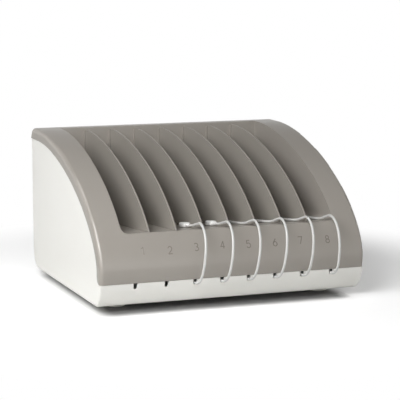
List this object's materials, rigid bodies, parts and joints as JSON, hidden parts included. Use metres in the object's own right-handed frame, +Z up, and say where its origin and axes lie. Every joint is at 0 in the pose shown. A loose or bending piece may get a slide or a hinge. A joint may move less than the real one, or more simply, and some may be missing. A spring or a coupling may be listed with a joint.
{
  "type": "usb charging station",
  "caption": "Desk charging station: a low white base with an enclosed multi-port charger, and a curved lift-off cover whose slots hold devices on edge, with short charging cables.",
  "frame": {"origin": "on the standing surface, under the middle of the station's outer box, measured without the cables", "axes": "+X to the right along the row of slots, as seen by someone in front of the cable notches; -Y to the front, where the cables come out; +Z up"},
  "size_m": [0.35, 0.3237, 0.196],
  "materials": {
    "white_shell": "satin white",
    "taupe_cover": "fine matte taupe",
    "taupe_divider": "fine matte taupe",
    "clear_rubber": "clouded clear",
    "black_case": "fine grain",
    "board_green": "lacquered",
    "port_steel": "bright plated",
    "pin_brass": "plated",
    "screw_steel": "zinc plated",
    "plug_white": "satin",
    "cable_white": "soft satin",
    "tip_steel": "bright plated"
  },
  "bodies": {
    "base": {"base_tub": "white_shell", "foot_front_left": "clear_rubber", "foot_front_right": "clear_rubber", "foot_rear_left": "clear_rubber", "foot_rear_right": "clear_rubber", "charger_case_lower": "black_case", "charger_case_upper": "black_case", "charger_board": "board_green", "usb_port_1": "port_steel", "usb_port_2": "port_steel", "usb_port_3": "port_steel", "usb_port_4": "port_steel", "usb_port_5": "port_steel", "usb_port_6": "port_steel", "usb_port_7": "port_steel", "usb_port_8": "port_steel", "mains_inlet": "black_case", "inlet_pin_left": "pin_brass", "inlet_pin_right": "pin_brass", "charger_screw_left": "screw_steel", "charger_screw_right": "screw_steel", "usb_plug_3": "plug_white", "usb_plug_4": "plug_white", "usb_plug_5": "plug_white", "usb_plug_6": "plug_white", "usb_plug_7": "plug_white", "usb_plug_8": "plug_white", "inner_lead_3": "cable_white", "inner_lead_4": "cable_white", "inner_lead_5": "cable_white", "inner_lead_6": "cable_white", "inner_lead_7": "cable_white", "inner_lead_8": "cable_white"},
    "cover": {"lift_off_cover": "taupe_cover", "divider_1": "taupe_divider", "divider_2": "taupe_divider", "divider_3": "taupe_divider", "divider_4": "taupe_divider", "divider_5": "taupe_divider", "divider_6": "taupe_divider", "divider_7": "taupe_divider", "charge_cable_3": "cable_white", "charge_cable_4": "cable_white", "charge_cable_5": "cable_white", "charge_cable_6": "cable_white", "charge_cable_7": "cable_white", "charge_cable_8": "cable_white", "cable_connector_3": "plug_white", "cable_connector_4": "plug_white", "cable_connector_5": "plug_white", "cable_connector_6": "plug_white", "cable_connector_7": "plug_white", "cable_connector_8": "plug_white", "connector_tip_3": "tip_steel", "connector_tip_4": "tip_steel", "connector_tip_5": "tip_steel", "connector_tip_6": "tip_steel", "connector_tip_7": "tip_steel", "connector_tip_8": "tip_steel"}
  },
  "joints": [
    {"name": "cover_lift", "type": "slide", "parent": "base", "child": "cover", "axis": [0, 0, 1], "range_m": [0, 0.16]}
  ]
}
